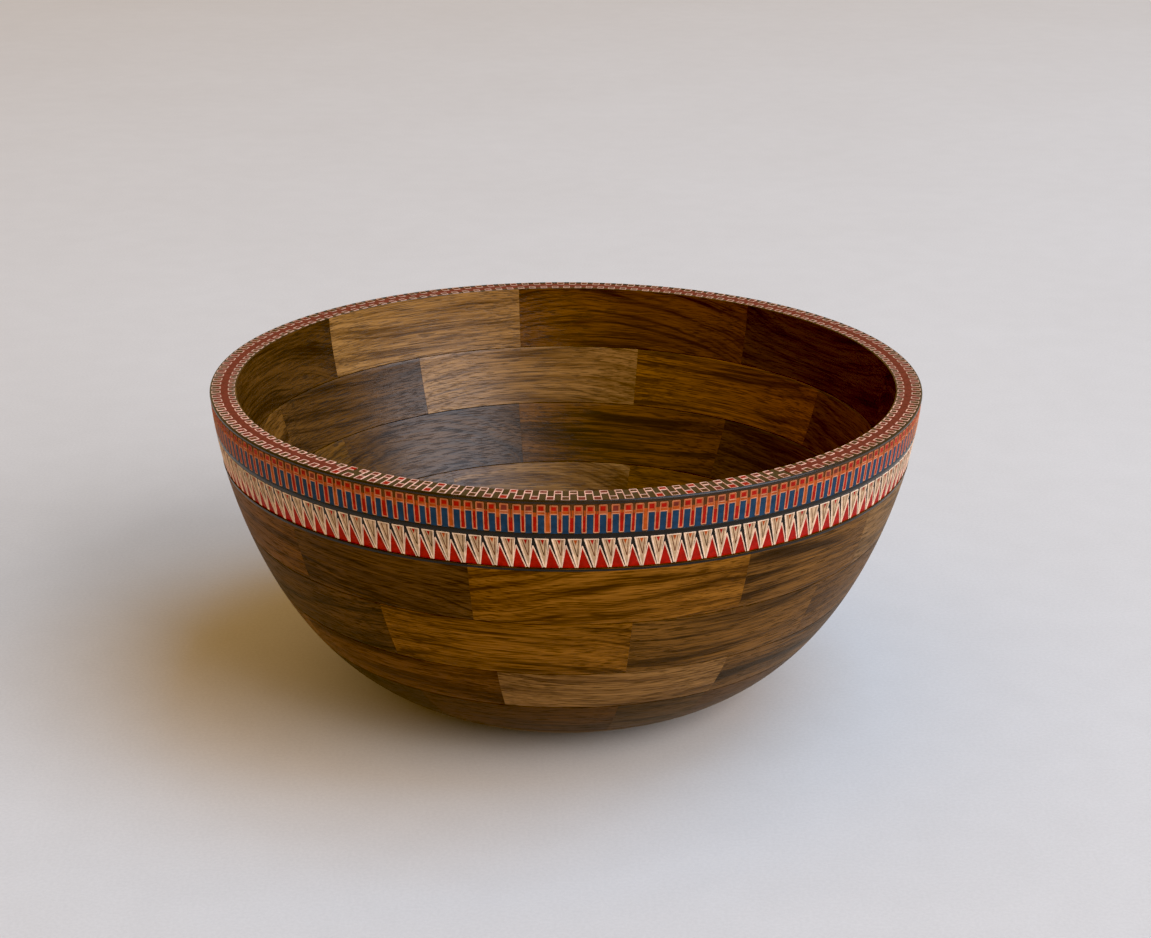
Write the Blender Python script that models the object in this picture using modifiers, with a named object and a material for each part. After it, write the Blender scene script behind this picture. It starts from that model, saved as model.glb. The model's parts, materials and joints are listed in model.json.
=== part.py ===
"""Segmented wooden serving bowl.

Five courses of curved hardwood blocks are glued one on another like bricks, on a round base of
edge-glued planks. The bowl stands on its flat base at z = 0, its axis is the Z axis, and angles
are counted in degrees from the front (-Y) towards +X.
"""

import math

import bmesh
import bpy

# Driving dimensions, in metres.
RIM_RADIUS = 0.150
RIM_WIDTH = 0.011
HEIGHT = 0.136
BASE_THICKNESS = 0.013
RIM_CHAMFER = 0.0009
GLUE_GAP = 0.0003

# The turned profile: radius = rim radius * (1 - (depth / reach) ** flare) ** (1 / fullness),
# where depth is measured down from the rim.
OUTER_REACH = 0.1402
INNER_REACH = 0.1275
FLARE = 1.5
FULLNESS = 3.4

# Facets of the turned surfaces.
FACET_DEGREES = 5.0
PROFILE_STEP = 0.008
DISC_STEPS = 72
SHARP_DEGREES = 30.0
MERGE_DISTANCE = 0.0001

# Wood tones: linear colours of the oiled blocks.
TONES = {
    "tan": (0.36, 0.20, 0.085),
    "golden": (0.27, 0.125, 0.035),
    "russet": (0.19, 0.075, 0.028),
    "brown": (0.13, 0.062, 0.025),
    "dark": (0.060, 0.029, 0.013),
}
ROUGHNESS = 0.42

# Courses from the rim down: node name, height, and each block's starting joint with its tone.
COURSES = [
    ("rim_block", 0.0285, [
        (-170.5, "tan"), (-128, "dark"), (-83, "brown"), (-38, "golden"),
        (7, "brown"), (52, "dark"), (96, "dark"), (142, "russet"),
    ]),
    ("upper_wall_block", 0.0260, [
        (-148.5, "dark"), (-108, "brown"), (-77, "russet"), (-46.5, "dark"), (-14.5, "golden"),
        (28.5, "brown"), (55.5, "tan"), (88, "brown"), (120.5, "golden"), (165, "tan"),
    ]),
    ("middle_wall_block", 0.0260, [
        (-169.5, "dark"), (-125, "brown"), (-78, "dark"), (-31, "golden"),
        (10.5, "brown"), (46, "brown"), (94, "dark"), (143, "russet"),
    ]),
    ("lower_wall_block", 0.0205, [
        (-151, "brown"), (-104, "golden"), (-57, "russet"), (-12, "tan"),
        (30, "brown"), (74, "russet"), (119, "golden"), (164, "tan"),
    ]),
    ("foot_block", 0.0220, [
        (-168, "russet"), (-124, "golden"), (-76, "dark"), (-30.5, "russet"), (10.5, "brown"),
        (29.5, "russet"), (70, "tan"), (112, "brown"), (152, "golden"),
    ]),
]
# Tones of the base planks, from the front to the back.
PLANK_TONES = ["brown", "golden", "russet", "tan", "brown"]


def clear_scene():
    for obj in list(bpy.data.objects):
        bpy.data.objects.remove(obj, do_unlink=True)


def make_collection(name):
    collection = bpy.data.collections.new(name)
    bpy.context.scene.collection.children.link(collection)
    return collection


def turned_radius(rim_radius, reach, depth):
    return rim_radius * (1.0 - (depth / reach) ** FLARE) ** (1.0 / FULLNESS)


def outer_radius(z):
    return turned_radius(RIM_RADIUS, OUTER_REACH, HEIGHT - z)


def inner_radius(z):
    return turned_radius(RIM_RADIUS - RIM_WIDTH, INNER_REACH, HEIGHT - z)


def heights_between(z_high, z_low):
    count = math.ceil((z_high - z_low) / PROFILE_STEP)
    return [z_high + (z_low - z_high) * i / count for i in range(count + 1)]


def course_outline(z_high, z_low, at_rim):
    """Cross-section of one course: down the outside, then up the inside."""
    bevel = RIM_CHAMFER if at_rim else 0.0
    outside = [(outer_radius(z), z) for z in heights_between(z_high - bevel, z_low)]
    inside = [(inner_radius(z), z) for z in heights_between(z_high - bevel, z_low)]
    if at_rim:
        outside.insert(0, (RIM_RADIUS - bevel, z_high))
        inside.insert(0, (RIM_RADIUS - RIM_WIDTH + bevel, z_high))
    return outside + inside[::-1]


def block_mesh(name, outline, start, sweep):
    """Spin a cross-section through part of a turn about the bowl's axis."""
    bm = bmesh.new()
    heading = math.radians(start - 90.0)
    corners = [
        bm.verts.new((radius * math.cos(heading), radius * math.sin(heading), z))
        for radius, z in outline
    ]
    bm.faces.new(corners)
    bmesh.ops.spin(
        bm,
        geom=bm.verts[:] + bm.edges[:] + bm.faces[:],
        cent=(0.0, 0.0, 0.0),
        axis=(0.0, 0.0, 1.0),
        angle=math.radians(sweep),
        steps=math.ceil(sweep / FACET_DEGREES),
        use_duplicate=False,
    )
    bmesh.ops.recalc_face_normals(bm, faces=bm.faces[:])
    mesh = bpy.data.meshes.new(name)
    bm.to_mesh(mesh)
    bm.free()
    return mesh


def wood_material(name, tone):
    material = bpy.data.materials.new(name)
    material.use_nodes = True
    shader = material.node_tree.nodes["Principled BSDF"]
    shader.inputs["Base Color"].default_value = (*TONES[tone], 1.0)
    shader.inputs["Roughness"].default_value = ROUGHNESS
    shader.inputs["Metallic"].default_value = 0.0
    return material


def add_part(collection, name, mesh, tone):
    mesh.materials.append(wood_material(name + "_wood", tone))
    obj = bpy.data.objects.new(name, mesh)
    collection.objects.link(obj)
    return obj


def shade_turned(mesh):
    mesh.shade_smooth()
    mesh.set_sharp_from_angle(angle=math.radians(SHARP_DEGREES))


def add_course(collection, name, z_high, z_low, blocks, at_rim):
    """Lay one ring of blocks, with a glue gap at every end joint."""
    outline = course_outline(z_high, z_low, at_rim)
    middle_radius = sum(radius for radius, _ in outline) / len(outline)
    gap = math.degrees(GLUE_GAP / middle_radius)
    joints = [start for start, _ in blocks]
    joints.append(joints[0] + 360.0)
    for number, (start, tone) in enumerate(blocks, 1):
        sweep = joints[number] - start - gap
        node = f"{name}_{number}"
        mesh = block_mesh(node, outline, start + gap / 2, sweep)
        shade_turned(mesh)
        add_part(collection, node, mesh, tone)


def add_base_disc(guides):
    """The round base as one turned guide, which trims the planks."""
    rim = [(outer_radius(z), 0.0, z) for z in heights_between(BASE_THICKNESS, 0.0)]
    profile = [(0.0, 0.0, BASE_THICKNESS)] + rim + [(0.0, 0.0, 0.0)]
    mesh = bpy.data.meshes.new("base_disc")
    mesh.from_pydata(profile, [(i, i + 1) for i in range(len(profile) - 1)], [])
    disc = bpy.data.objects.new("base_disc", mesh)
    guides.objects.link(disc)
    disc.hide_render = True
    disc.display_type = "WIRE"
    screw = disc.modifiers.new("turned", "SCREW")
    screw.steps = DISC_STEPS
    screw.render_steps = DISC_STEPS
    screw.use_merge_vertices = True
    screw.merge_threshold = MERGE_DISTANCE
    return disc


def add_planks(collection, disc):
    """Edge-glued planks, trimmed round by the turned disc."""
    pitch = 2.0 * outer_radius(BASE_THICKNESS) / len(PLANK_TONES)
    middle = (len(PLANK_TONES) - 1) / 2
    blank = (2.0 * RIM_RADIUS, pitch - GLUE_GAP, 2.0 * BASE_THICKNESS)
    for index, tone in enumerate(PLANK_TONES):
        node = f"base_plank_{index + 1}"
        bm = bmesh.new()
        bmesh.ops.create_cube(bm, size=1.0)
        bmesh.ops.scale(bm, vec=blank, verts=bm.verts)
        mesh = bpy.data.meshes.new(node)
        bm.to_mesh(mesh)
        bm.free()
        plank = add_part(collection, node, mesh, tone)
        plank.location = (0.0, (index - middle) * pitch, BASE_THICKNESS / 2)
        trim = plank.modifiers.new("turned_round", "BOOLEAN")
        trim.operation = "INTERSECT"
        trim.solver = "EXACT"
        trim.object = disc


def build_bowl():
    clear_scene()
    bowl = make_collection("segmented_wooden_bowl")
    guides = make_collection("turning_guides")
    z_high = HEIGHT
    for position, (name, height, blocks) in enumerate(COURSES):
        z_low = z_high - height
        add_course(bowl, name, z_high, z_low + GLUE_GAP, blocks, at_rim=position == 0)
        z_high = z_low
    add_planks(bowl, add_base_disc(guides))


build_bowl()
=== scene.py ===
"""Looks of the segmented wooden bowl: finely turned blocks of oiled hardwood with thin glue lines,
and a painted relief band round its rim.

The bowl stands at z = 0 with its axis on Z. Angles are counted from the front (-Y) towards +X.
Relief on the rim is laid out in millimetres: along is measured round the rim, and across is the
depth below the rim plane on the wall, or the distance in from the outer edge on the rim's top.
"""

import json
import math
import random

import bmesh
import bpy
from mathutils import Matrix, Vector


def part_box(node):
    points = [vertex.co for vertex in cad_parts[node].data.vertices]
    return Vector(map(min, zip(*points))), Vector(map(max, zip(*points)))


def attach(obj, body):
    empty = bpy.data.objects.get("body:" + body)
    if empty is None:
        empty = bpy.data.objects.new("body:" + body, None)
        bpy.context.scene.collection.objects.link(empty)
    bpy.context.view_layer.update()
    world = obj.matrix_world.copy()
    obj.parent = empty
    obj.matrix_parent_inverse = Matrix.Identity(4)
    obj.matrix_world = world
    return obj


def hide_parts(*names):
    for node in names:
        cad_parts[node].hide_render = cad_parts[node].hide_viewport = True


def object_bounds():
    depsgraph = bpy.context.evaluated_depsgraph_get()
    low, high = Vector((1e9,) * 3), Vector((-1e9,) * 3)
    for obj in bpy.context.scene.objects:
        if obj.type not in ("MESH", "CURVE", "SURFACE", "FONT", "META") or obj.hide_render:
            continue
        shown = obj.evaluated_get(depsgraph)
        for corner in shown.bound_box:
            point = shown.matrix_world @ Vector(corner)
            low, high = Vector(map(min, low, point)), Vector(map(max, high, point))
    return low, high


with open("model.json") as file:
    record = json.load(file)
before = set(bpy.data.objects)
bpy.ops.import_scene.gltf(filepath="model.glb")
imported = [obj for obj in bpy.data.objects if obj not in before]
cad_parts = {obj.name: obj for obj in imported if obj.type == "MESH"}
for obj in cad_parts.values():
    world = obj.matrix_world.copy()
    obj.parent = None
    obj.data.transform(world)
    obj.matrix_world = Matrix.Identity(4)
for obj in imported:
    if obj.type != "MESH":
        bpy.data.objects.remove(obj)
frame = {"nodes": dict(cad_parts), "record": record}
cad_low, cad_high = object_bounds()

MM = 0.001
rng = random.Random(7)

# Driving dimensions of the turned bowl, in metres.
RIM_RADIUS = 0.150
RIM_WIDTH = 0.011
HEIGHT = cad_high.z
OUTER_REACH = 0.1402
INNER_REACH = 0.1275
FLARE = 1.5
FULLNESS = 3.4
COURSES = ["rim_block", "upper_wall_block", "middle_wall_block", "lower_wall_block", "foot_block"]

# Fineness of the turned surfaces.
STEP_DEGREES = 1.25
STEP_HEIGHT = 0.0016
RING_STEPS = 360
BASE_STEPS = 144
SHARP_DEGREES = 35.0

# Joints: the gap between two CAD solids, the glue that fills it here, and the eased edges beside it.
CAD_GAP = 0.3 * MM
GLUE = 0.04 * MM
GROOVE = 0.012 * MM

# The painted band, in mm: how far its ground lies below the turned surface and how far the wood
# lies below it, then the depths below the rim plane at which its rows start and end.
WALL_RECESS = 0.42
RIM_RECESS = 0.36
WOOD_UNDER_BAND = 0.6
WOOD_UNDER_RIM = 0.5
GROUND_THICKNESS = 0.12
CORNER_LINE_END = 1.75
ROW_A = (1.75, 13.6)
DIVIDER = (13.5, 15.6)
ROW_B = (15.6, 28.3)
BOTTOM_LINE = (28.3, 29.7)
ROW_A_COUNT = 208
ROW_B_COUNT = 151

# The pattern on the rim's flat top; the square wave lies within the front angle to either side.
RIM_COUNT = 161
FRONT_DEGREES = 34.0
PINK_DEGREES = 75.0
STRIPE_MIDDLE, STRIPE_WIDTH = 5.9, 7.4
WHOLE_TURN = 2 * math.pi * RIM_RADIUS / MM  # once round the rim, in mm

# Colours, linear: the light and dark wood of each tone, then the glue and the paints.
TONES = {
    "tan": ((0.370, 0.182, 0.052), (0.130, 0.054, 0.012)),
    "golden": ((0.270, 0.106, 0.013), (0.078, 0.027, 0.003)),
    "russet": ((0.172, 0.063, 0.010), (0.050, 0.017, 0.003)),
    "brown": ((0.172, 0.073, 0.014), (0.048, 0.019, 0.004)),
    "dark": ((0.108, 0.045, 0.010), (0.029, 0.012, 0.004)),
}
FIRST_BLOCK_SEED, FIRST_PLANK_SEED = 12, 90  # each piece of wood has its own figure
# Single blocks darker or lighter than the rest of their tone; the lower courses get painted shade.
BLOCK_TONES_AND_PAINTED_SHADE = {
    # Painted shade: the lower wall, and more so the foot course, are darkened where shade falls near
    # the floor.
    "lower_wall_block": 0.90,
    "foot_block": 0.60,
    "upper_wall_block_5": 0.93,
    "upper_wall_block_7": 0.62,
    "upper_wall_block_9": 1.14,
    "middle_wall_block_3": 1.15,
    "middle_wall_block_4": 0.94,
    "lower_wall_block_4": 0.80,
}
GLUE_COLOUR = (0.110, 0.046, 0.012)
# Roughness, specular level and sheen of the wood: oiled outside and buffed inside.
OILED, BUFFED = (0.52, 0.11, 0.07), (0.33, 0.37, 0.0)
SHEEN_TINT = (1.0, 0.82, 0.58, 1.0)
# Roughness and specular level of the paint, and of the glossier lacquer.
PAINTED, LACQUERED = (0.50, 0.15), (0.25, 0.32)
LACQUERS = {"umber", "black"}  # the dark lines
PAINT_SPREAD = 0.12  # how far a paint varies from stroke to stroke
PAINTS = {
    "cream": (0.84, 0.61, 0.43),
    "tooth": (0.54, 0.36, 0.21),
    "peach": (0.54, 0.225, 0.115),
    "salmon": (0.42, 0.105, 0.036),
    "orange": (0.42, 0.075, 0.013),
    "red": (0.35, 0.009, 0.006),
    "maroon": (0.17, 0.028, 0.019),
    "blue": (0.012, 0.042, 0.088),
    "pink": (0.80, 0.46, 0.33),
    "blush": (0.82, 0.55, 0.38),
    "amber": (0.48, 0.155, 0.066),
    "clay": (0.56, 0.34, 0.24),
    "rust": (0.15, 0.045, 0.018),
    "brown": (0.085, 0.035, 0.012),
    "umber": (0.022, 0.012, 0.006),
    "black": (0.008, 0.006, 0.005),
}


# --- Materials -------------------------------------------------------------------------------


OBJECT_PLACE = 3  # the Object output of a texture coordinate node


class Nodes:
    """A material's node tree, built one node at a time."""

    def __init__(self, name):
        self.material = bpy.data.materials.new(name)
        self.material.use_nodes = True
        self.tree = self.material.node_tree
        self.shader = self.tree.nodes["Principled BSDF"]

    def feed(self, socket, value):
        if isinstance(value, bpy.types.NodeSocket):
            self.tree.links.new(value, socket)
        elif value is not None:
            socket.default_value = value

    def add(self, kind, *inputs, out=0, **settings):
        node = self.tree.nodes.new(kind)
        for key, value in settings.items():
            setattr(node, key, value)
        for socket, value in zip(node.inputs, inputs):
            self.feed(socket, value)
        return node.outputs[out]

    def math(self, operation, *inputs):
        return self.add("ShaderNodeMath", *inputs, operation=operation)

    def vector(self, operation, *inputs):
        return self.add("ShaderNodeVectorMath", *inputs, operation=operation)

    def stretch(self, vector, x, y, z):
        return self.vector("MULTIPLY", vector, (x, y, z))

    def place_in_mm(self):
        """Where a point lies in its object's own space."""
        place = self.add("ShaderNodeTexCoord", out=OBJECT_PLACE)
        return self.stretch(place, 1000.0, 1000.0, 1000.0)

    def noise(self, vector, detail=2.0, roughness=0.5, scale=1.0, out=0):
        return self.add("ShaderNodeTexNoise", vector, None, scale, detail, roughness, out=out)

    def remap(self, value, low, high, to_low=0.0, to_high=1.0):
        return self.add("ShaderNodeMapRange", value, low, high, to_low, to_high)

    def mix(self, factor, a, b):
        """A mix of two colours, whose sockets are the seventh and eighth of the node."""
        node = self.tree.nodes.new("ShaderNodeMix")
        node.data_type = "RGBA"
        node.clamp_factor = True
        for index, value in ((0, factor), (6, a), (7, b)):
            self.feed(node.inputs[index], value)
        return node.outputs[2]

    def bump(self, height, strength, distance=0.0003):
        node = self.tree.nodes.new("ShaderNodeBump")
        node.inputs["Strength"].default_value = strength
        node.inputs["Distance"].default_value = distance
        self.feed(node.inputs["Height"], height)
        return node.outputs[0]

    def set(self, **sockets):
        for name, value in sockets.items():
            self.feed(self.shader.inputs[name.replace("_", " ")], value)
        return self.material


def opaque(colour):
    return (*colour, 1.0)


def growth_rings(n, mm, own, dice):
    """The grain's coordinates: x along the board, the distance from its pith and the height off it.

    The pith is a line beside the block, tilted and gently bent.
    """
    bend = n.noise(n.stretch(own, 0.011, 0.035, 0.035), detail=2.0, out=1)
    bend = n.stretch(n.vector("SUBTRACT", bend, (0.5,) * 3), 0.0, 9.0, 9.0)
    bent = n.vector("ADD", mm, bend)
    x, y, z = (n.add("ShaderNodeSeparateXYZ", bent, out=i) for i in range(3))
    side = dice.choice((-1, 1))
    pith_y, pith_z = dice.uniform(-55, 55), side * dice.uniform(45, 170)
    tilt_y, tilt_z = dice.uniform(-0.05, 0.05), dice.uniform(-0.11, 0.11)
    off_y = n.math("ADD", n.math("MULTIPLY_ADD", x, tilt_y, y), -pith_y)
    off_z = n.math("ADD", n.math("MULTIPLY_ADD", x, tilt_z, z), -pith_z)
    squares = (n.math("MULTIPLY", off_y, off_y), n.math("MULTIPLY", off_z, off_z))
    return x, n.math("SQRT", n.math("ADD", *squares)), off_z


def wood_material(name, tone, seed, depth, finish):
    """Oiled hardwood cut from a straight board, with its own rings, streaks, fibre and pores."""
    dice = random.Random(seed)
    light, dark = TONES[tone]
    # depth brings a block's own tone and, on the lower courses, painted shade; the dice add a random
    # tone.
    shade = depth * dice.uniform(0.90, 1.10)
    light = [c * shade for c in light]
    dark = [c * shade * dice.uniform(0.9, 1.1) for c in dark]
    deep = [c * 0.42 for c in dark]
    n = Nodes(name)
    mm = n.place_in_mm()
    own = n.vector("ADD", mm, [dice.uniform(-900, 900) for _ in range(3)])
    x, distance, off_z = growth_rings(n, mm, own, dice)
    drift = dice.uniform(-50, 50)

    def along_rings(length, breadth, detail, roughness):
        """Noise drawn out along the grain, which follows the growth rings."""
        place = n.add("ShaderNodeCombineXYZ", n.math("MULTIPLY_ADD", x, length, drift),
                      n.math("MULTIPLY", distance, breadth), n.math("MULTIPLY", off_z, length * 2))
        return n.noise(place, detail, roughness)

    streaks = along_rings(0.012, 0.24, 4.0, 0.62)
    lines = along_rings(0.026, 1.10, 3.0, 0.60)
    fibre = n.noise(n.stretch(own, 0.020, 0.36, 1.35), detail=4.0, roughness=0.70)
    cloud = n.noise(n.stretch(own, 0.020, 0.05, 0.05), detail=2.0)

    # The four noises, added up by weight, range over the tone from dark to light.
    figure = n.math("MULTIPLY_ADD", lines, 0.55, n.math("MULTIPLY", streaks, 0.80))
    figure = n.math("MULTIPLY_ADD", fibre, 0.70, figure)
    figure = n.math("MULTIPLY_ADD", cloud, 0.35, figure)
    body = n.mix(n.remap(figure, 1.03, 1.36), opaque(dark), opaque(light))

    # The darkest late wood, broad in the streaks and fine in the lines.
    accent = dice.uniform(0.50, 0.92)
    body = n.mix(n.remap(streaks, 0.46, 0.34, 0.0, accent), body, opaque(deep))
    body = n.mix(n.remap(lines, 0.43, 0.32, 0.0, 0.65), body, opaque(deep))

    # Open pores: short dark dashes along the grain, rougher and lower than the wood round them.
    dash = n.noise(n.stretch(own, 0.10, 0.60, 2.4), detail=1.5, roughness=0.5)
    pores = n.remap(dash, 0.53, 0.63)
    body = n.mix(n.math("MULTIPLY", pores, 0.70), body, opaque(deep))

    roughness, shine, sheen = finish
    gloss = n.remap(fibre, 0.3, 0.7, roughness - 0.05, roughness + 0.05)
    gloss = n.math("MULTIPLY_ADD", pores, 0.15, gloss)
    relief = n.math("MULTIPLY_ADD", pores, -1.0, n.math("MULTIPLY", fibre, 0.5))
    return n.set(Base_Color=body, Roughness=gloss, Normal=n.bump(relief, 0.20),
                 Specular_IOR_Level=shine, Sheen_Weight=sheen, Sheen_Roughness=0.4,
                 Sheen_Tint=SHEEN_TINT)


def paint_material(name, colour, roughness, shine):
    """Brushed paint: it varies from stroke to stroke and wears thin on its high spots."""
    n = Nodes(name)
    mm = n.place_in_mm()
    stroke = n.noise(n.stretch(mm, 0.45, 0.45, 0.45), detail=2.0)
    grain = n.noise(n.stretch(mm, 2.2, 2.2, 2.2), detail=2.0)
    low = opaque([c * (1 - 2.2 * PAINT_SPREAD) for c in colour])
    high = opaque([min(1.0, c * (1 + PAINT_SPREAD)) for c in colour])
    body = n.mix(n.remap(stroke, 0.32, 0.68), low, high)
    worn = n.remap(grain, 0.62, 0.76, 0.0, 0.22)
    body = n.mix(worn, body, opaque([c * 0.45 for c in colour]))
    gloss = n.remap(grain, 0.3, 0.7, roughness - 0.07, roughness + 0.09)
    return n.set(Base_Color=body, Roughness=gloss, Normal=n.bump(grain, 0.16),
                 Specular_IOR_Level=shine)


# --- Turned surfaces -------------------------------------------------------------------------


def turned_radius(rim_radius, reach, depth):
    return rim_radius * (1.0 - (depth / reach) ** FLARE) ** (1.0 / FULLNESS)


def outer_radius(z):
    return turned_radius(RIM_RADIUS, OUTER_REACH, max(0.0, HEIGHT - z))


def inner_radius(z):
    return turned_radius(RIM_RADIUS - RIM_WIDTH, INNER_REACH, max(0.0, HEIGHT - z))


def spot(angle, radius, z):
    """A point at an angle in radians from the front."""
    return Vector((radius * math.sin(angle), -radius * math.cos(angle), z))


def new_object(name, mesh, materials, node=None):
    for material in materials:
        mesh.materials.append(material)
    obj = bpy.data.objects.new(name, mesh)
    bpy.context.scene.collection.objects.link(obj)
    if node:
        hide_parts(node)
    return obj


def finished_mesh(name, bm):
    """A mesh whose faces point out, shaded smooth except at its sharp edges."""
    bmesh.ops.recalc_face_normals(bm, faces=bm.faces[:])
    mesh = bpy.data.meshes.new(name)
    bm.to_mesh(mesh)
    bm.free()
    mesh.shade_smooth()
    mesh.set_sharp_from_angle(angle=math.radians(SHARP_DEGREES))
    return mesh


def mesh_from(name, points, faces):
    raw = bpy.data.meshes.new("raw")
    raw.from_pydata(points, [], faces)
    raw.validate()
    bm = bmesh.new()
    bm.from_mesh(raw)
    bpy.data.meshes.remove(raw)
    bmesh.ops.dissolve_degenerate(bm, dist=0.001 * MM, edges=bm.edges[:])
    return finished_mesh(name, bm)


def loft(outlines, in_a_ring=False):
    """Points and faces through like outlines, closed at both ends or joined into a ring."""
    size, count = len(outlines[0]), len(outlines)
    points = [point for outline in outlines for point in outline]
    faces = []
    for number in range(count if in_a_ring else count - 1):
        a, b = number * size, (number + 1) % count * size
        for i in range(size):
            j = (i + 1) % size
            faces.append((a + i, a + j, b + j, b + i))
    if not in_a_ring:
        faces.append(tuple(range(size)))
        faces.append(tuple((count - 1) * size + i for i in reversed(range(size))))
    return points, faces


def turned_ring(outline):
    """An outline in (radius, z) turned through a whole turn."""
    turns = [2 * math.pi * step / RING_STEPS for step in range(RING_STEPS)]
    return loft([[spot(turn, radius, z) for radius, z in outline] for turn in turns],
                in_a_ring=True)


def joined(lumps):
    """Several lots of points and faces as one."""
    points, faces = [], []
    for lump_points, lump_faces in lumps:
        first = len(points)
        points += lump_points
        faces += [tuple(first + i for i in face) for face in lump_faces]
    return points, faces


def levels(high, low):
    count = max(2, math.ceil((high - low) / STEP_HEIGHT))
    return [high + (low - high) * i / count for i in range(count + 1)]


def block_outline(high, low, inset, at_rim):
    """Cross-section of a block, down the outside and up the inside, its edges eased."""
    sunk = WOOD_UNDER_BAND * MM if at_rim else 0.0
    outside, inside = [], []
    for z in levels(high - GROOVE, low + GROOVE):
        outside.append((outer_radius(z) - sunk - inset, z))
        inside.append((inner_radius(z) + inset, z))
    top, bottom = high - inset, low + inset
    outside.insert(0, (outside[0][0] - GROOVE, top))
    outside.append((outside[-1][0] - GROOVE, bottom))
    ease = 4 * GROOVE if at_rim else GROOVE
    inside.insert(0, (inside[0][0] + ease, top))
    inside.append((inside[-1][0] + GROOVE, bottom))
    return outside + inside[::-1]


def block_mesh(name, start, end, high, low, at_rim):
    """A curved block in its own space: X along the grain, Y outwards and Z up."""
    easing = GROOVE / RIM_RADIUS
    count = math.ceil(math.degrees(end - start) / STEP_DEGREES)
    turns = [start + (end - start) * i / count for i in range(1, count)]
    turns = [start, start + easing] + turns + [end - easing, end]
    full = block_outline(high, low, 0.0, at_rim)
    eased = block_outline(high, low, GROOVE, at_rim)
    middle_turn, middle_z = (start + end) / 2, (high + low) / 2
    middle = spot(middle_turn, outer_radius(middle_z), middle_z)
    home = Matrix.Translation(middle) @ Matrix.Rotation(middle_turn, 4, "Z")
    home = home @ Matrix.Rotation(math.pi, 4, "Z")
    away = home.inverted()
    sections = []
    for turn in turns:
        outline = eased if turn in (start, end) else full
        sections.append([away @ spot(turn, radius, z) for radius, z in outline])
    return mesh_from(name, *loft(sections)), home


def wooden_object(name, mesh, home, tone, seed, node):
    """A block or plank in place, buffed where it faces the bowl's axis or up from its floor."""
    turn = home.to_3x3()
    for polygon in mesh.polygons:
        facing, place = turn @ polygon.normal, home @ polygon.center
        inward = facing.x * place.x + facing.y * place.y < 0.0
        polygon.material_index = int(inward or facing.z > 0.99)
    # depth scales a piece's tone: its own lighter or darker tone, or painted shade on the lower
    # courses.
    depth = BLOCK_TONES_AND_PAINTED_SHADE.get(node, BLOCK_TONES_AND_PAINTED_SHADE.get(node.rsplit("_", 1)[0], 1.0))
    woods = [wood_material(f"{name}_oiled", tone, seed, depth, OILED),
             wood_material(f"{name}_buffed", tone, seed, depth, BUFFED)]
    obj = new_object(name, mesh, woods, node)
    obj.matrix_world = home
    return obj


def node_span(node):
    """The angles at which a CAD block starts and ends, from its own corners."""
    corners = [v.co for v in frame["nodes"][node].data.vertices]
    middle = sum((Vector((c.x, c.y)) for c in corners), Vector((0.0, 0.0)))
    heading = math.atan2(middle.x, -middle.y)
    off = []
    for corner in corners:
        turn = math.atan2(corner.x, -corner.y) - heading
        off.append((turn + math.pi) % (2 * math.pi) - math.pi)
    return heading + min(off), heading + max(off)


# --- Relief on the rim -----------------------------------------------------------------------


def on_wall(along, across, lift):
    """A point on the painted wall; all three in mm."""
    depth, near = across * MM, 0.05 * MM
    radius = outer_radius(HEIGHT - depth)
    slope = (outer_radius(HEIGHT - depth - near) - radius) / near
    normal = Vector((1.0, slope)).normalized()
    return spot(along * MM / RIM_RADIUS, radius - (WALL_RECESS - lift * normal.x) * MM,
                HEIGHT - depth + lift * normal.y * MM)


def on_rim(along, across, lift):
    """A point on the painted top of the rim; all three in mm."""
    return spot(along * MM / RIM_RADIUS, RIM_RADIUS - across * MM,
                HEIGHT - (RIM_RECESS - lift) * MM)


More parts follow.
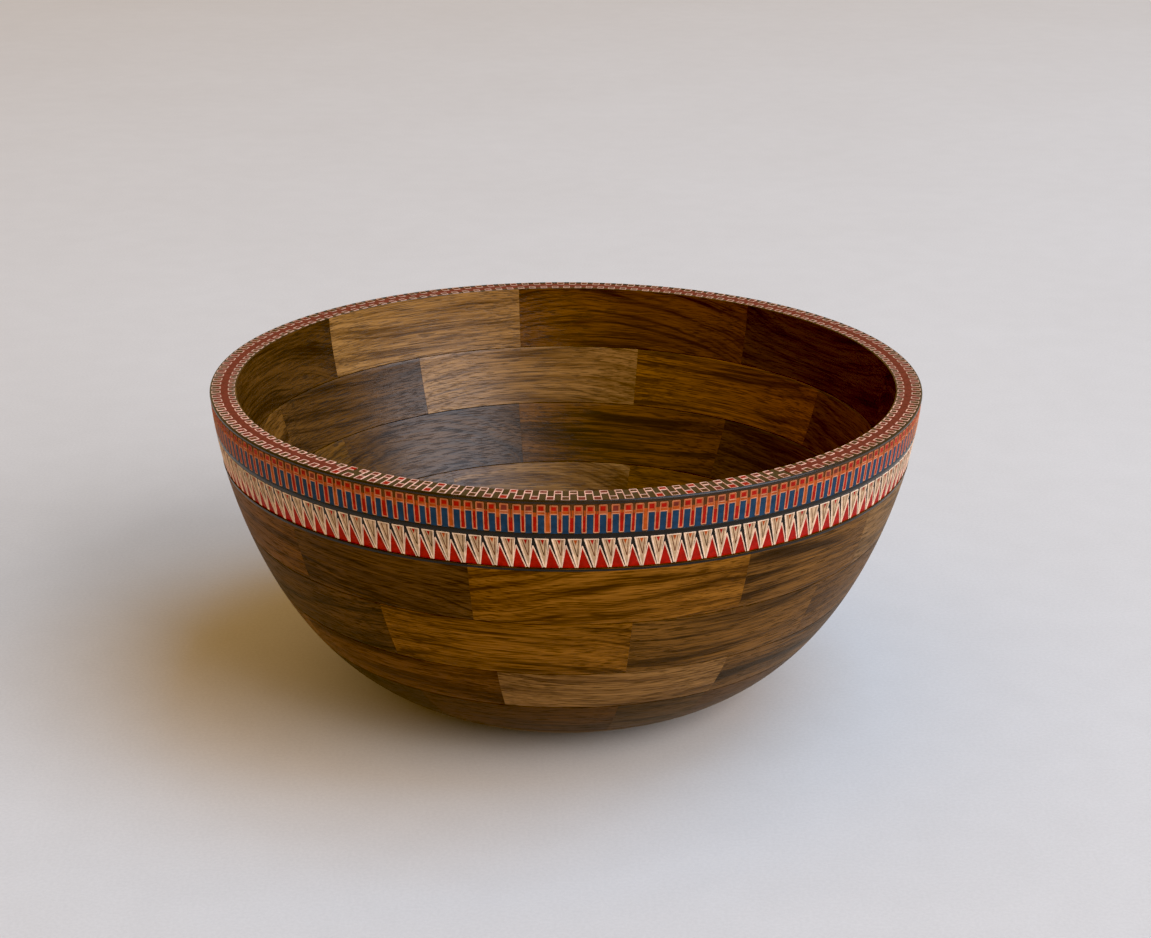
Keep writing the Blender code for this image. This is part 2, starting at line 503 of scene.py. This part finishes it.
class Relief:
    """Raised lines and fields of one colour, laid on a curved surface."""

    ROOT = -0.05  # how far each one reaches into the ground, in mm
    FIELD_STEP = 1.7  # the longest side of a field's faces, in mm
    EASE = 0.07  # how far a field's edge slopes, in mm
    SPARSE = 1.8  # the step between points of the rim's straight lines, in mm
    WIDTH_SHAKE, PATH_SHAKE = 1.6, 0.8  # how a line's wobble acts on its width and its path
    MITRE = 0.55  # the least cosine that a bend is widened for
    # Across a line: share of its width, and share of its height or None at its root.
    SECTION = [(-0.50, None), (-0.36, 0.72), (0.0, 1.0), (0.36, 0.72), (0.50, None)]

    def __init__(self, lay):
        self.lay, self.points, self.faces = lay, [], []

    def line(self, path, width, height, wobble=0.05, step=1.3):
        """A rounded line that follows a path, as wide as a brush lays it."""
        fine = []
        for (u0, v0), (u1, v1) in zip(path, path[1:]):
            count = max(1, round(math.hypot(u1 - u0, v1 - v0) / step))
            fine += [(u0 + (u1 - u0) * i / count, v0 + (v1 - v0) * i / count)
                     for i in range(count)]
        fine.append(path[-1])
        first = len(self.points)
        last = len(fine) - 1
        for i, (u, v) in enumerate(fine):
            ahead = fine[min(i + 1, last)]
            behind = fine[max(i - 1, 0)]
            before = Vector((u - behind[0], v - behind[1]))
            after = Vector((ahead[0] - u, ahead[1] - v))
            before = before.normalized() if before.length > 1e-9 else after.normalized()
            after = after.normalized() if after.length > 1e-9 else before
            along = (before + after).normalized()
            spread = 1.0 / max(self.MITRE, along.dot(before))
            side = Vector((-along.y, along.x)) * spread
            shake_width = rng.uniform(-self.WIDTH_SHAKE, self.WIDTH_SHAKE)
            wide = width * (1.0 + shake_width * wobble)
            drift = rng.uniform(-1.0, 1.0) * wobble * width * self.PATH_SHAKE
            for offset, rise in self.SECTION:
                reach = offset * wide + drift
                level = self.ROOT if rise is None else rise * height
                self.points.append(self.lay(u + side.x * reach, v + side.y * reach, level))
        size = len(self.SECTION)
        for i in range(last):
            a = first + i * size
            for j in range(size - 1):
                self.faces.append((a + j, a + j + 1, a + size + j + 1, a + size + j))
        self.faces.append(tuple(first + j for j in reversed(range(size))))
        self.faces.append(tuple(first + last * size + j for j in range(size)))

    def field(self, top, bottom, height):
        """A field with eased edges between a top and a bottom edge, which follows the surface."""
        outer = [Vector(c) for c in (*top, bottom[1], bottom[0])]
        centre = sum(outer, Vector((0.0, 0.0))) / 4
        inner = [c + (centre - c) * (self.EASE / max((centre - c).length, 2 * self.EASE))
                 for c in outer]
        rows = math.ceil(max((outer[3] - outer[0]).length, (outer[2] - outer[1]).length)
                         / self.FIELD_STEP)
        columns = math.ceil(max((outer[1] - outer[0]).length, (outer[2] - outer[3]).length)
                            / self.FIELD_STEP)

        def between(quad, column, row):
            share, depth = column / columns, row / rows
            return quad[0].lerp(quad[1], share).lerp(quad[3].lerp(quad[2], share), depth)

        first = len(self.points)
        for row in range(rows + 1):
            for column in range(columns + 1):
                self.points.append(self.lay(*between(inner, column, row), height))
        for row in range(rows):
            for column in range(columns):
                a = first + row * (columns + 1) + column
                self.faces.append((a, a + 1, a + columns + 2, a + columns + 1))
        edge = [(column, 0) for column in range(columns)]
        edge += [(columns, row) for row in range(rows)]
        edge += [(column, rows) for column in range(columns, 0, -1)]
        edge += [(0, row) for row in range(rows, 0, -1)]
        skirt = len(self.points)
        for column, row in edge:
            self.points.append(self.lay(*between(outer, column, row), self.ROOT))
        for i, (column, row) in enumerate(edge):
            j = (i + 1) % len(edge)
            a = first + row * (columns + 1) + column
            b = first + edge[j][1] * (columns + 1) + edge[j][0]
            self.faces.append((a, b, skirt + j, skirt + i))

    def box(self, left, top, right, bottom, height, skew=0.0):
        self.field([(left, top), (right, top)], [(left + skew, bottom), (right + skew, bottom)],
                   height)

    def finish(self, name, paint):
        mesh = mesh_from(name, self.points, self.faces)
        return new_object(name, mesh, [paint])


def shake(amount):
    return rng.uniform(-amount, amount)


def paint_door(parts, left, right, lean):
    """A blue door under a red square, in its frame; gives the depths of the frame's ends."""
    frame_width, side_rise, bar_rise, top_rise = 0.50, 0.19, 0.20, 0.21
    door_rise, shelf_rise, panel_rise, square_rise = 0.05, 0.06, 0.07, 0.13
    square_side, square_top, square_foot = 0.44, 0.42, 0.36  # how far it stands in from its panel
    top = ROW_A[0] + 0.45 + shake(0.12)
    shelf = 4.75 + shake(0.15)
    door = 5.75 + shake(0.18)
    foot = 13.10 + shake(0.12)

    def side_at(x, depth):
        return x + lean * (depth - top) / (foot - top)

    parts["salmon"].box(left, top, right, shelf, panel_rise)
    parts[rng.choice(["red"] * 6 + ["maroon"])].box(
        left + square_side, top + square_top, right - square_side, shelf - square_foot, square_rise)
    parts[rng.choice(["orange", "orange", "salmon"])].box(left, shelf, right, door, shelf_rise)
    parts["blue"].box(left, door, right, ROW_A[1] + 0.15, door_rise, skew=lean)
    for side in (left, right):
        hip = (side_at(side, door), door)
        parts["amber"].line([(side, top), hip], frame_width * 0.85, side_rise)
        parts["peach"].line([hip, (side_at(side, foot), foot)], frame_width, side_rise)
    parts["amber"].line([(left, top), (right, top)], frame_width * 0.80, top_rise)
    parts[rng.choice(["salmon", "peach", "orange"])].line(
        [(left, shelf), (right, shelf)], frame_width * 0.85, bar_rise)
    parts["peach"].line([(left, door), (right, door)], frame_width * 0.9, top_rise)
    return top, foot


def paint_leg(parts, head, feet, top, foot):
    """The leg between two doors: orange above its knee and red below, with a dark slip.

    head and feet are where it starts and ends along the band, at its top and at its foot.
    """
    left, right = head
    thigh_rise, shin_rise, overlap = 0.05, 0.08, 0.3
    slip_share, slip_width, slip_rise = 0.8, 0.34, 0.10
    sole_width, sole_rise = 0.45, 0.20
    leg_top, knee = 4.6 + shake(0.6), 6.8 + shake(1.2)
    parts["orange"].field([(left, leg_top), (right, leg_top)], [(left, knee), (right, knee)],
                          thigh_rise)
    parts[rng.choice(["red"] * 6 + ["orange"])].field(
        [(left, knee - overlap), (right, knee - overlap)],
        [(feet[0], foot), (feet[1], foot)], shin_rise)
    if rng.random() < slip_share:
        slip = left + (right - left) * rng.uniform(0.35, 0.65)
        parts[rng.choice(["brown", "rust"])].line(
            [(slip, top + 0.2), (slip + shake(0.2), leg_top + rng.uniform(0.5, 5.5))],
            slip_width, slip_rise)
    parts["peach"].line([(feet[0], foot), (feet[1], foot)], sole_width, sole_rise)


def paint_ladders(parts):
    """Row A: blue doors under red squares, between narrow red legs."""
    pitch = WHOLE_TURN / ROW_A_COUNT
    half = 1.42  # half the width of a door
    doors = []
    for number in range(ROW_A_COUNT):
        middle = pitch * number + shake(0.16)
        lean = shake(0.16)
        doors.append((middle - half + shake(0.08), middle + half + shake(0.08), lean))
    for number, (left, right, lean) in enumerate(doors):
        top, foot = paint_door(parts, left, right, lean)
        last = number == ROW_A_COUNT - 1
        next_left, _, next_lean = doors[0 if last else number + 1]
        next_left += WHOLE_TURN if last else 0.0
        paint_leg(parts, (right, next_left), (right + lean, next_left + next_lean), top, foot)


def paint_tooth(parts, apex, apex_depth, next_apex):
    """A red tooth that stands at its apex, and the cream one that hangs to the right of it."""
    top, bottom = ROW_B[0] + 0.38, ROW_B[1] - 0.15
    red_rise, tooth_rise, spot_rise = 0.06, 0.07, 0.12
    gap_rise, fold_rise, edge_rise = 0.12, 0.13, 0.17
    red_left, red_right = apex - 1.60 + shake(0.12), apex + 3.75 + shake(0.12)
    parts["red"].field([(apex, apex_depth)] * 2,
                       [(red_left, bottom + 0.25), (red_right, bottom + 0.25)], red_rise)
    left, right = apex + 0.75 + shake(0.1), next_apex - 0.35 + shake(0.1)
    tip = (apex + next_apex) / 2 + 1.35 + shake(0.15)
    tip_depth = bottom - 0.2 + shake(0.15)
    half_tip = 0.35
    parts["tooth"].field([(left, top), (right, top)],
                         [(tip - half_tip, tip_depth), (tip + half_tip, tip_depth)], tooth_rise)

    # Outlines of the red tooth, then of the cream one, and a dark line between them. A line's
    # last two values are its width and its height.
    parts["blush"].line([(apex, apex_depth), (red_left + 0.1, bottom)], 0.50, edge_rise)
    parts["blush"].line([(apex, apex_depth), (red_right - 0.05, bottom)], 0.54, edge_rise)
    parts["cream"].line([(left + 0.22, top), (tip - 0.1, tip_depth)], 0.68, 0.22)
    parts["cream"].line([(right - 0.12, top), (tip + 0.22, tip_depth)], 0.48, 0.21)
    parts["cream"].line([(left, top), (right, top)], 0.42, 0.20)
    parts["black"].line([(apex + 0.34, top + 0.4), (tip - 0.60, tip_depth - 0.5)], 0.24, gap_rise)

    # The folds drawn inside the cream tooth, and the spot at its head.
    notch = (left + right) / 2
    inner = (tip - 0.02 + shake(0.1), 23.2 + shake(0.5))
    fold = rng.choice(["rust", "brown", "rust"])
    parts[fold].line([(notch - 0.95, top + 0.3), inner], 0.44, fold_rise)
    parts[fold].line([(notch + 1.45, top + 0.3), (inner[0] + 0.05, inner[1])], 0.40, fold_rise)
    spotted_share = 0.9
    if rng.random() < spotted_share:
        parts[rng.choice(["red", "red", "orange"])].field(
            [(notch - 0.45, top + 0.25), (notch + 0.95, top + 0.25)],
            [(notch + 0.4, top + 2.4)] * 2, spot_rise)


def paint_teeth(parts):
    """Row B: cream teeth that hang between red ones, leaning to one side."""
    pitch, apex_depth = WHOLE_TURN / ROW_B_COUNT, 18.7
    peaks = [(pitch * i + shake(0.22), apex_depth + shake(0.35)) for i in range(ROW_B_COUNT)]
    following = [peak[0] for peak in peaks[1:]] + [peaks[0][0] + WHOLE_TURN]
    for (apex, depth), next_apex in zip(peaks, following):
        paint_tooth(parts, apex, depth, next_apex)


def paint_rim(parts):
    """The rim's top: a square wave at the front, and two rows of boxes along a stripe behind."""
    pitch = WHOLE_TURN / RIM_COUNT
    quarter = pitch / 4
    # Distances in from the rim's edge, then the widths and heights of the lines and boxes.
    edge, outer_close, inner_close, inner_edge = 1.05, 4.45, 7.85, 10.25
    thin, thick, rise, low_rise, fill = 0.50, 0.62, 0.26, 0.247, 0.13
    for number in range(RIM_COUNT):
        middle = pitch * (number - (RIM_COUNT - 1) / 2) + shake(0.12)
        turn = abs(math.degrees(middle * MM / RIM_RADIUS))
        left, right = middle - quarter + shake(0.08), middle + quarter + shake(0.08)
        beyond = right + 2 * quarter
        at_front = turn < FRONT_DEGREES + shake(3.0)
        outline = parts["pink" if turn < PINK_DEGREES else "clay"]
        outer_arch = [(left, edge), (right, edge)]
        inner_arch = [(right, inner_edge), (beyond, inner_edge)]
        if at_front:
            runs = [[(left, inner_edge), *outer_arch, *inner_arch]]
        else:
            runs = [[(left, outer_close), *outer_arch, (right, outer_close)],
                    [(right, inner_close), *inner_arch, (beyond, inner_close)]]
        for run in runs:
            outline.line(run, thin, rise, step=Relief.SPARSE)
        outline.line([(left, outer_close), (right, outer_close)], thick, low_rise)
        outline.line([(right, inner_close), (beyond, inner_close)], thick, low_rise)
        centre = rng.choice(["red", "maroon", "brown"] if at_front
                            else ["maroon", "rust", "brown"])
        parts[centre].box(left, edge, right, outer_close, fill)
        parts[centre].box(right, inner_close, beyond, inner_edge, fill)


def paint_stripe():
    """The maroon stripe along the middle of the rim, which stops short of the square wave."""
    stripe = Relief(on_rim)
    reach = math.radians(FRONT_DEGREES + 1.0) * RIM_RADIUS / MM
    ends = [(reach, STRIPE_MIDDLE), (WHOLE_TURN - reach, STRIPE_MIDDLE)]
    stripe.line(ends, STRIPE_WIDTH, height=0.10, wobble=0.01, step=2.0)
    return stripe


def wall_point(depth, lift):
    """A point of the painted wall's profile, in (radius, z)."""
    point = on_wall(0.0, depth, lift)
    return -point.y, point.z


def rim_point(across, lift):
    """A point of the painted rim's profile, in (radius, z)."""
    point = on_rim(0.0, across, lift)
    return -point.y, point.z


def wall_ground(start, end):
    """The profile of a thin ground on the wall, between two depths."""
    count = 10
    depths = [start + (end - start) * i / count for i in range(count + 1)]
    back = [end + (start - end) * i / count for i in range(count + 1)]
    return ([wall_point(depth, 0.0) for depth in depths]
            + [wall_point(depth, -GROUND_THICKNESS) for depth in back])


def rounded_corner():
    """The quarter circle between the rim's top and the wall."""
    radius, middle_in, middle_down = 0.75 * MM, 0.87 * MM, 0.89 * MM
    turns = [math.radians(degrees) for degrees in range(0, 91, 10)]
    return [(RIM_RADIUS - middle_in + radius * math.sin(turn),
             HEIGHT - middle_down + radius * math.cos(turn)) for turn in turns]


def band_rings():
    """The grounds under the pattern, and the dark lines that run right round."""
    inside = RIM_WIDTH / MM
    rim_ground = [rim_point(inside - 0.25, -0.2), rim_point(inside - 0.42, 0.0),
                  rim_point(0.7, 0.0), rim_point(0.7, -GROUND_THICKNESS),
                  rim_point(inside - 0.5, -GROUND_THICKNESS)]
    corner_line = [rim_point(0.98, -0.05), *rounded_corner(), wall_point(1.35, 0.24),
                   wall_point(CORNER_LINE_END, -0.05), wall_point(1.3, -0.1)]
    start, end = DIVIDER
    divider_line = [wall_point(start, -0.05), wall_point(start + 0.2, 0.10),
                    wall_point(start + 0.8, 0.17), wall_point(end - 0.7, 0.17),
                    wall_point(end - 0.2, 0.10), wall_point(end, -0.05)]
    start, end = BOTTOM_LINE  # stands just proud of the wood below it
    bottom_line = [wall_point(start, -0.1), wall_point(start + 0.15, 0.34),
                   wall_point(start + 0.5, WALL_RECESS + 0.08),
                   wall_point(end - 0.4, WALL_RECESS + 0.09),
                   wall_point(end - 0.1, WALL_RECESS + 0.05), wall_point(end, WALL_RECESS - 0.1),
                   wall_point(end - 0.7, WALL_RECESS - 0.2)]
    return {
        "rim_ground": ("umber", rim_ground),
        "ladder_ground": ("brown", wall_ground(0.9, ROW_A[1] + 0.4)),
        "tooth_ground": ("black", wall_ground(ROW_B[0] - 0.4, ROW_B[1] + 0.3)),
        "corner_line": ("umber", corner_line),
        "divider_line": ("black", divider_line),
        "bottom_line": ("black", bottom_line),
    }


# --- Building the bowl -----------------------------------------------------------------------


def glue_butt(start, radius, outline):
    """The glue at a block's starting end."""
    turns = (start - GLUE / radius, start)
    return loft([[spot(turn, radius, z) for radius, z in outline] for turn in turns])


def glue_bed(z):
    """The glue under a course, set back from both faces of the wall."""
    outside, inside = outer_radius(z) - 2 * GROOVE, inner_radius(z) + 2 * GROOVE
    top, bottom = z + GLUE / 2, z - GLUE / 2
    return turned_ring([(outside, top), (outside, bottom), (inside, bottom), (inside, top)])


def build_blocks(tones):
    """Each curved block of the five courses, and the glue between them."""
    pieces, glue = [], []
    seed = FIRST_BLOCK_SEED
    for course in COURSES:
        nodes = sorted(n for n in frame["nodes"] if n.startswith(course))
        at_rim = course == COURSES[0]
        low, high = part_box(nodes[0])
        high_z = HEIGHT - WOOD_UNDER_RIM * MM if at_rim else high.z - GLUE / 2
        middle_radius = outer_radius((low.z + high.z) / 2)
        spare = (GLUE - CAD_GAP) / 2 / middle_radius
        recessed = block_outline(high_z, low.z, 2 * GROOVE, at_rim)
        for node in nodes:
            start, end = node_span(node)
            start, end = start + spare, end - spare
            name = "turned_" + node
            mesh, home = block_mesh(name, start, end, high_z, low.z + GLUE / 2, at_rim)
            pieces.append(wooden_object(name, mesh, home, tones[node], seed, node))
            glue.append(glue_butt(start, middle_radius, recessed))
            seed += 1
        glue.append(glue_bed(low.z))
    mesh = mesh_from("glue_lines", *joined(glue))
    paint = paint_material("glue", GLUE_COLOUR, *PAINTED)
    pieces.append(new_object("glue_lines", mesh, [paint]))
    return pieces


def base_disc(top):
    """The whole base as one turned disc."""
    side = [top - GROOVE, *levels(top, 0.0)[1:-1], 3 * GROOVE]
    run = [(0.0, top), (outer_radius(top) - GROOVE, top)]
    run += [(outer_radius(z), z) for z in side]
    run += [(outer_radius(0.0) - 3 * GROOVE, 0.0), (0.0, 0.0)]
    bm = bmesh.new()
    corners = [bm.verts.new((radius, 0.0, z)) for radius, z in run]
    edges = [bm.edges.new(pair) for pair in zip(corners, corners[1:])]
    bmesh.ops.spin(bm, geom=corners + edges, cent=(0, 0, 0), axis=(0, 0, 1),
                   angle=2 * math.pi, steps=BASE_STEPS, use_merge=True)
    bmesh.ops.remove_doubles(bm, verts=bm.verts[:], dist=0.02 * MM)
    return bm


def build_planks(tones):
    """The planks of the base, each sawn from the disc at its two joints."""
    pieces = []
    nodes = sorted(n for n in frame["nodes"] if n.startswith("base_plank"))
    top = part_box(nodes[0])[1].z - GLUE / 2
    reach = (CAD_GAP - GLUE) / 2
    for number, node in enumerate(nodes):
        low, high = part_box(node)
        bm = base_disc(top)
        cuts = []
        if number > 0:
            cuts.append(((0.0, low.y - reach, 0.0), (0, -1, 0)))
        if number < len(nodes) - 1:
            cuts.append(((0.0, high.y + reach, 0.0), (0, 1, 0)))
        for place, facing in cuts:
            bmesh.ops.bisect_plane(bm, geom=bm.verts[:] + bm.edges[:] + bm.faces[:],
                                   dist=1e-7, plane_co=place, plane_no=facing, clear_outer=True)
            bmesh.ops.holes_fill(bm, edges=[e for e in bm.edges if e.is_boundary])
        middle = (low + high) / 2
        bmesh.ops.translate(bm, verts=bm.verts[:], vec=-middle)
        name = "turned_" + node
        pieces.append(wooden_object(name, finished_mesh(name, bm), Matrix.Translation(middle),
                                    tones[node], FIRST_PLANK_SEED + number, node))
    return pieces


def build_band():
    """The grounds and dark lines of the band, and the relief painted on them."""
    paints = {}
    for name, colour in PAINTS.items():
        finish = LACQUERED if name in LACQUERS else PAINTED
        paints[name] = paint_material("paint_" + name, colour, *finish)
    pieces = []
    for name, (paint, outline) in band_rings().items():
        mesh = mesh_from(name, *turned_ring(outline))
        pieces.append(new_object(name, mesh, [paints[paint]]))
    for row, lay, painter in (("ladders", on_wall, paint_ladders), ("teeth", on_wall, paint_teeth),
                              ("rim_boxes", on_rim, paint_rim)):
        parts = {name: Relief(lay) for name in PAINTS}
        painter(parts)
        pieces += [relief.finish(f"{row}_{name}", paints[name])
                   for name, relief in parts.items() if relief.faces]
    pieces.append(paint_stripe().finish("rim_stripe", paints["maroon"]))
    return pieces


record_tones = {
    part["node"]: part["material_slot"].removeprefix("wood_")
    for part in frame["record"]["subparts"]
}
for piece in build_blocks(record_tones) + build_planks(record_tones) + build_band():
    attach(piece, "root")


# --- Stage, lights and camera ----------------------------------------------------------------


def add_floor():
    """A large sheet of pale, slightly mottled paper."""
    half = 5.0
    pale, warm, grey = (0.70, 0.68, 0.65, 1.0), (0.66, 0.635, 0.60, 1.0), (0.45, 0.43, 0.40, 1.0)
    mesh = bpy.data.meshes.new("floor")
    mesh.from_pydata([(-half, -half, 0), (half, -half, 0), (half, half, 0), (-half, half, 0)],
                     [], [(0, 1, 2, 3)])
    n = Nodes("paper")
    place = n.add("ShaderNodeTexCoord", out=OBJECT_PLACE)
    cloud = n.noise(place, detail=3.0, scale=6.0)
    patch = n.noise(place, detail=3.0, scale=45.0)
    fleck = n.noise(place, detail=3.0, roughness=0.7, scale=700.0)
    body = n.mix(cloud, warm, pale)
    body = n.mix(n.remap(patch, 0.35, 0.65, 0.0, 0.06), body, grey)
    body = n.mix(n.remap(fleck, 0.38, 0.62, 0.0, 0.16), body, grey)
    n.set(Base_Color=body, Roughness=0.85, Normal=n.bump(fleck, 0.10, 0.0006),
          Specular_IOR_Level=0.25)
    mesh.materials.append(n.material)
    floor = bpy.data.objects.new("floor", mesh)
    bpy.context.scene.collection.objects.link(floor)


def add_light(name, place, size, power, colour):
    """A rectangular lamp that faces the bowl."""
    data = bpy.data.lights.new(name, "AREA")
    data.shape = "RECTANGLE"
    data.size, data.size_y = size
    data.energy = power
    data.color = colour
    light = bpy.data.objects.new(name, data)
    bpy.context.scene.collection.objects.link(light)
    light.location = place
    light.rotation_euler = (-Vector(place)).to_track_quat("-Z", "Y").to_euler()


def add_world(colour, strength, backdrop):
    """Warm light from all around, behind a pale backdrop that only the camera sees."""
    world = bpy.data.worlds.new("studio")
    bpy.context.scene.world = world
    world.use_nodes = True
    nodes, link = world.node_tree.nodes, world.node_tree.links.new
    lit = nodes["Background"]
    lit.inputs["Color"].default_value = opaque(colour)
    lit.inputs["Strength"].default_value = strength
    seen = nodes.new("ShaderNodeBackground")
    seen.inputs["Color"].default_value = opaque(backdrop)
    path = nodes.new("ShaderNodeLightPath")
    choice = nodes.new("ShaderNodeMixShader")
    link(path.outputs["Is Camera Ray"], choice.inputs[0])
    link(lit.outputs[0], choice.inputs[1])
    link(seen.outputs[0], choice.inputs[2])
    link(choice.outputs[0], nodes["World Output"].inputs["Surface"])


def add_camera():
    """Stands in front, a little above the rim, and looks down at the bowl."""
    # Distance and elevation are counted from the rim's middle.
    distance, elevation, focal_length = 0.93613, math.radians(17.649), 68.81
    pitch, yaw, roll = (math.radians(d) for d in (20.107, 0.262, 0.2246))
    ahead = Vector((math.sin(yaw) * math.cos(pitch), math.cos(yaw) * math.cos(pitch),
                    -math.sin(pitch)))
    right = Vector((math.cos(yaw), -math.sin(yaw), 0.0))
    above = right.cross(ahead)
    tipped = math.cos(roll) * right + math.sin(roll) * above
    above = tipped.cross(ahead)
    turn = Matrix((tipped, above, -ahead)).transposed()
    data = bpy.data.cameras.new("camera")
    data.sensor_fit = "HORIZONTAL"
    data.sensor_width = 36.0
    data.lens = focal_length
    data.clip_end = 50.0
    camera = bpy.data.objects.new("camera", data)
    bpy.context.scene.collection.objects.link(camera)
    place = Vector((0.0, -distance * math.cos(elevation), HEIGHT + distance * math.sin(elevation)))
    camera.matrix_world = Matrix.Translation(place) @ turn.to_4x4()
    bpy.context.scene.camera = camera


def grade(settings):
    """A plain transform with a slightly lifted black point, as a print has."""
    settings.view_transform = "Standard"
    settings.use_curve_mapping = True
    settings.curve_mapping.black_level = (0.007, 0.008, 0.011)
    settings.curve_mapping.update()


add_floor()
add_light("sky", place=(2.54, 0.0, 5.44), size=(4.0, 4.0), power=228.0, colour=(0.23, 0.57, 1.0))
add_light("window", place=(4.25, -2.98, 3.00), size=(5.3, 4.2), power=376.0,
          colour=(0.82, 0.87, 1.0))
add_world(colour=(1.0, 0.65, 0.29), strength=0.56, backdrop=(0.62, 0.60, 0.58))
add_camera()
grade(bpy.context.scene.view_settings)

bpy.context.view_layer.update()
